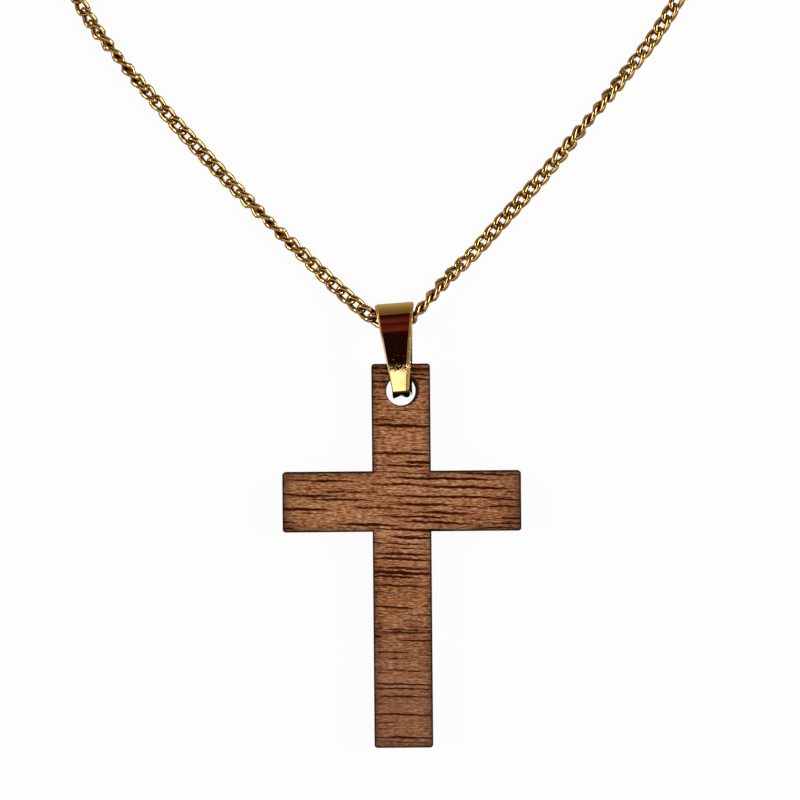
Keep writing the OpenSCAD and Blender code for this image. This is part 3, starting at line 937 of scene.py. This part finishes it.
def lever_shape():
    tab_meets = 180 - math.degrees(math.acos(TAB_HALF / BOSS))
    gate_meets = math.degrees(math.asin((GATE[0] - PIN[1]) / BOSS))
    tab_left, tab_right = PIN[0] - TAB_HALF, PIN[0] + TAB_HALF
    outline = [(GATE_END, GATE[0]), (GATE_END, GATE[1])]
    outline += [(tab_right, GATE[1]), (tab_right, TAB_TOP), (tab_left, TAB_TOP)]
    outline += arc(PIN, BOSS, tab_meets, 360 + gate_meets, 18)
    shape = closed_line(outline, LEVER_LOW)
    bore = Matrix.Translation((PIN[0] * MM, PIN[1] * MM, LEVER_LOW))
    bmesh.ops.create_circle(shape, segments=20, radius=LEVER_BORE, matrix=bore)
    bmesh.ops.triangle_fill(shape, edges=shape.edges[:], use_beauty=True, normal=(0, 0, 1))
    pull(shape, shape.faces[:], LEVER_THICK, True)
    bmesh.ops.recalc_face_normals(shape, faces=shape.faces[:])
    rims = [edge for edge in shape.edges if edge.calc_face_angle(0) > 1
            and abs(edge.verts[0].co.z - edge.verts[1].co.z) < LEVER_THICK / 2]
    round_edges(shape, rims, LEVER_ROUNDING)
    return shape


def rivet_shape():
    shape = bmesh.new()
    line = [shape.verts.new((MM * x, 0, MM * z)) for x, z in RIVET]
    for a, b in zip(line, line[1:]):
        shape.edges.new((a, b))
    full_turn(shape, shape.verts[:] + shape.edges[:], 20)
    bmesh.ops.remove_doubles(shape, verts=shape.verts[:], dist=1e-7)
    bmesh.ops.recalc_face_normals(shape, faces=shape.faces[:])
    bmesh.ops.translate(shape, verts=shape.verts[:], vec=(PIN[0] * MM, PIN[1] * MM, 0))
    return shape


def spring_shape():
    """Thin wire, spun with a small step up along the rivet."""
    shape = bmesh.new()
    section = Matrix.Translation((SPRING_RADIUS, 0, SPRING_FOOT)) @ Matrix.Rotation(math.pi / 2, 4, "X")
    wire = bmesh.ops.create_circle(shape, segments=6, radius=SPRING_WIRE / 2, matrix=section)["verts"]
    bmesh.ops.spin(shape, geom=wire + edges_of(wire), axis=(0, 0, 1), cent=(0, 0, 0),
                   dvec=(0, 0, SPRING_CLIMB / SPRING_STEPS), angle=2 * math.pi * SPRING_TURNS,
                   steps=SPRING_STEPS, use_merge=False)
    bmesh.ops.holes_fill(shape, edges=shape.edges[:], sides=6)
    bmesh.ops.recalc_face_normals(shape, faces=shape.faces[:])
    bmesh.ops.translate(shape, verts=shape.verts[:], vec=(PIN[0] * MM, PIN[1] * MM, 0))
    return shape


def spring_steel():
    finish, surface = new_finish("spring_steel")
    drawn = finish.noise(finish.millimetres(), (6, 6, 20), 3.0)
    finish.feed(surface.inputs["Base Color"], finish.mix(drawn, (0.5, 0.5, 0.5, 1), (0.68, 0.68, 0.68, 1)))
    finish.feed(surface.inputs["Roughness"], 0.22 + 0.2 * drawn)
    surface.inputs["Metallic"].default_value = 1
    return finish.owner


steel_finish = spring_steel()
for name, shape, body, slot, finish, node in (
        ("claw_lever", lever_shape(), "lever", "polished_gold", bail_finish, "clasp_lever"),
        ("claw_rivet", rivet_shape(), "chain", "polished_gold", bail_finish, "clasp_pin"),
        ("claw_spring", spring_shape(), "chain", "spring_steel", steel_finish, "clasp_spring")):
    bmesh.ops.translate(shape, verts=shape.verts[:], vec=clasp_eye)
    sharp_above(shape, math.radians(40))
    made = add_piece(name, shape, body, slot, finish, node)
    print("faces in", name, len(made.data.polygons))

# %% [markdown]
# ## The rings at the chain's ends
# A jump ring is a turn of wire that is cut once, so that it can be bent open and shut again. Each ring is
# spun from a circle, a hair short of the full turn, and the two cut ends are filled.

# %% Rings
RING_CUT = math.radians(5)
SMALL_RING_RADIUS = 1.1 * MM
SMALL_RING_WIRE = 0.5 * MM
LARGE_RING_RADIUS = 1.5 * MM
LARGE_RING_WIRE = 0.6 * MM


def wire_ring(centre, radius, wire):
    shape = bmesh.new()
    out = Matrix.Translation((radius, 0, 0))
    section = bmesh.ops.create_circle(shape, segments=10, radius=wire / 2, matrix=out)["verts"]
    bmesh.ops.spin(shape, geom=section + edges_of(section), axis=(0, 1, 0), cent=(0, 0, 0),
                   angle=2 * math.pi - RING_CUT, steps=32, use_merge=False)
    bmesh.ops.holes_fill(shape, edges=shape.edges[:], sides=10)
    bmesh.ops.recalc_face_normals(shape, faces=shape.faces[:])
    cut_on_top = Matrix.Translation(centre) @ Matrix.Rotation(-math.pi / 2, 4, "Y")
    bmesh.ops.transform(shape, matrix=cut_on_top, verts=shape.verts[:])
    sharp_above(shape, math.radians(40))
    return shape


small_ring = wire_ring(Vector(joints["jump_ring_spin"]["pos_m"]), SMALL_RING_RADIUS, SMALL_RING_WIRE)
add_piece("small_ring", small_ring, "jump_ring", "chain_gold", chain_finish, "jump_ring")
large_ring = wire_ring(Vector(joints["end_ring_spin"]["pos_m"]), LARGE_RING_RADIUS, LARGE_RING_WIRE)
add_piece("large_ring", large_ring, "end_ring", "chain_gold", chain_finish, "end_ring")

# %% [markdown]
# ## The table
# The picture has a plain white ground. A backdrop in the world would lose the shadow, so the floor is a large
# pale sheet. To the camera and to mirrors it is mostly white by itself, and the rest of it is lit, which
# keeps the soft shadow under the pendant.

# %% Floor
FLOOR_HALF = 3.0
WHITE_SHARE = 0.95


def pale_floor():
    finish, surface = new_finish("pale_floor")
    place = finish.millimetres()
    paper = finish.noise(place, (0.02, 0.02, 0.02), 3.0)
    finish.feed(surface.inputs["Base Color"], finish.mix(paper, (0.9, 0.9, 0.9, 1), (0.94, 0.94, 0.94, 1)))
    surface.inputs["Roughness"].default_value = 0.9
    surface.inputs["Specular IOR Level"].default_value = 0.1
    rays = finish.node("ShaderNodeLightPath").socket.node.outputs
    seen = Value(finish, rays["Is Camera Ray"]) + Value(finish, rays["Is Glossy Ray"])
    seen = seen + Value(finish, rays["Is Transmission Ray"])
    lit = Value(finish, surface.outputs[0])
    white = finish.node("ShaderNodeEmission", None, {"Color": (1, 1, 1, 1), "Strength": 1.0})
    ground = finish.node("ShaderNodeMixShader", None, {0: WHITE_SHARE * seen, 1: lit, 2: white})
    finish.feed(finish.tree.nodes["Material Output"].inputs["Surface"], ground)
    return finish.owner


floor_shape = bmesh.new()
bmesh.ops.create_grid(floor_shape, x_segments=2, y_segments=2, size=FLOOR_HALF)
floor_mesh = bpy.data.meshes.new("floor")
floor_shape.to_mesh(floor_mesh)
floor_shape.free()
floor_mesh.materials.append(pale_floor())
floor = bpy.data.objects.new("floor", floor_mesh)
bpy.context.scene.collection.objects.link(floor)
floor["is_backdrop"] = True
print("floor, metres across:", 2 * FLOOR_HALF)

# %% [markdown]
# ## The light
# Polished metal is only as good as what it mirrors, so the surroundings matter more than the lamps: dark red
# bands straight above, a warm grey room around, a pale horizon, and bright panels in front and at both sides.
# The world holds the dark and the grey, and area lamps are the panels.

# %% World and lamps
AIM = (0, 0.02, 0)
SIDE_PANEL = (0.36, 0.2)


def studio_world():
    world = bpy.data.worlds.new("studio")
    bpy.context.scene.world = world
    finish = Finish(world)
    direction = finish.node("ShaderNodeTexCoord", None, None, "Generated")
    x, y, z = finish.parts(direction)
    room = finish.mix(finish.between(z, 0.02, 0.14), (0.95, 0.95, 0.95, 1), (0.24, 0.18, 0.12, 1))
    aside = finish.math("ABSOLUTE", x)
    behind = finish.math("MAXIMUM", y, 0.0)
    overhead = finish.between(z + 0.3 * behind, 0.8, 0.86) * finish.between(aside, 0.3, 0.22)
    stops = [(0.0, (0.014, 0.004, 0.005)), (0.22, (0.017, 0.004, 0.005)), (0.25, (0.145, 0.023, 0.02)),
             (0.32, (0.11, 0.016, 0.016)), (0.36, (0.034, 0.006, 0.006)), (0.42, (0.145, 0.023, 0.02)),
             (0.55, (0.11, 0.016, 0.016)), (0.6, (0.02, 0.005, 0.005))]
    bands = finish.node("ShaderNodeValToRGB", {"stops": stops}, {0: y})
    shade = finish.mix(overhead, room, bands)
    background = finish.tree.nodes["Background"]
    finish.feed(background.inputs["Color"], shade)
    background.inputs["Strength"].default_value = 1


def panel(name, place, size, power):
    """A soft rectangular lamp that looks at the pendant."""
    lamp = bpy.data.lights.new(name, "AREA")
    lamp.shape = "RECTANGLE"
    lamp.size, lamp.size_y = size
    lamp.energy = power
    piece = bpy.data.objects.new(name, lamp)
    piece.location = place
    piece.rotation_euler = (Vector(AIM) - Vector(place)).to_track_quat("-Z", "Y").to_euler()
    bpy.context.scene.collection.objects.link(piece)


studio_world()
panel("panel_front", (0.0, -0.34, 0.52), size=(1.0, 0.22), power=1.05)
panel("panel_right", (0.54, 0.12, 0.34), SIDE_PANEL, power=2.5)
panel("panel_left", (-0.54, 0.12, 0.34), SIDE_PANEL, power=2.0)
bpy.context.scene.view_settings.view_transform = "Standard"
print("panels:", len(bpy.data.lights))

# %% [markdown]
# ## Sizes
# The dressed pendant must stay as large as the imported one. Both boxes are printed side by side.

# %% Sizes and the end
visual_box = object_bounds()
corners = (*cad_box, *visual_box)
print("CAD box and visual box, mm:", [[round(v / MM, 2) for v in corner] for corner in corners])
